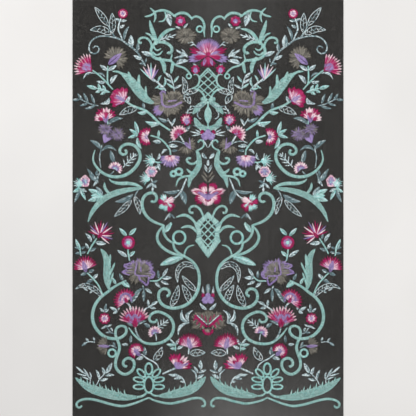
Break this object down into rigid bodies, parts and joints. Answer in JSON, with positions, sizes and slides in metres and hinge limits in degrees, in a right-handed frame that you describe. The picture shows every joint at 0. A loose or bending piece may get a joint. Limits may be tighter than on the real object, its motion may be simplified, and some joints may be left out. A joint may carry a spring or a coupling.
{
  "type": "embroidered tulle panel",
  "caption": "Flat cut length of dark net with raised thread scrolls, leaves, lattices and flower heads, mirrored about its middle line.",
  "frame": {"origin": "middle of the panel's underside, on the surface it lies on", "axes": "+X across the panel, +Y up the panel to its top end, +Z out of its face"},
  "size_m": [0.65, 1, 0.003],
  "materials": {
    "tulle": "soft fine net, matt, see-through",
    "teal_thread": "satin-stitched thread with a soft sheen",
    "ice_thread": "satin-stitched thread with a soft sheen",
    "lavender_thread": "long-and-short stitched thread",
    "magenta_thread": "long-and-short stitched thread",
    "pink_thread": "long-and-short stitched thread",
    "taupe_thread": "long-and-short stitched thread"
  },
  "bodies": {
    "root": {"tulle_ground": "tulle", "top_peony": "lavender_thread", "small_middle": "lavender_thread", "pansy": "magenta_thread", "thistle_bud": "lavender_thread", "low_peony": "taupe_thread", "cornflower_left": "taupe_thread", "taupe_fan_left": "taupe_thread", "side_carnation_left": "magenta_thread", "leaf_carnation_left": "magenta_thread", "small_pink_left": "magenta_thread", "high_peony_left": "taupe_thread", "tulip_head_left": "magenta_thread", "spiky_head_left": "magenta_thread", "side_pink_left": "magenta_thread", "rose_left": "lavender_thread", "scroll_pink_left": "magenta_thread", "great_carnation_left": "magenta_thread", "low_pink_left": "magenta_thread", "trumpet_left": "magenta_thread", "cornflower_right": "taupe_thread", "taupe_fan_right": "taupe_thread", "side_carnation_right": "magenta_thread", "leaf_carnation_right": "magenta_thread", "small_pink_right": "magenta_thread", "high_peony_right": "taupe_thread", "tulip_head_right": "magenta_thread", "spiky_head_right": "magenta_thread", "side_pink_right": "magenta_thread", "rose_right": "lavender_thread", "scroll_pink_right": "magenta_thread", "great_carnation_right": "magenta_thread", "low_pink_right": "magenta_thread", "trumpet_right": "magenta_thread", "high_lattice": "teal_thread", "low_lattice": "teal_thread", "swag_left": "teal_thread", "acanthus_left": "teal_thread", "great_leaf_left": "teal_thread", "side_spiral_left": "teal_thread", "twin_leaf_left": "teal_thread", "heart_scroll_left": "teal_thread", "heart_frame_left": "teal_thread", "low_scroll_left": "teal_thread", "inner_scroll_left": "teal_thread", "palmette_left": "teal_thread", "border_scroll_left": "teal_thread", "swag_right": "teal_thread", "acanthus_right": "teal_thread", "great_leaf_right": "teal_thread", "side_spiral_right": "teal_thread", "twin_leaf_right": "teal_thread", "heart_scroll_right": "teal_thread", "heart_frame_right": "teal_thread", "low_scroll_right": "teal_thread", "inner_scroll_right": "teal_thread", "palmette_right": "teal_thread", "border_scroll_right": "teal_thread"}
  },
  "joints": []
}
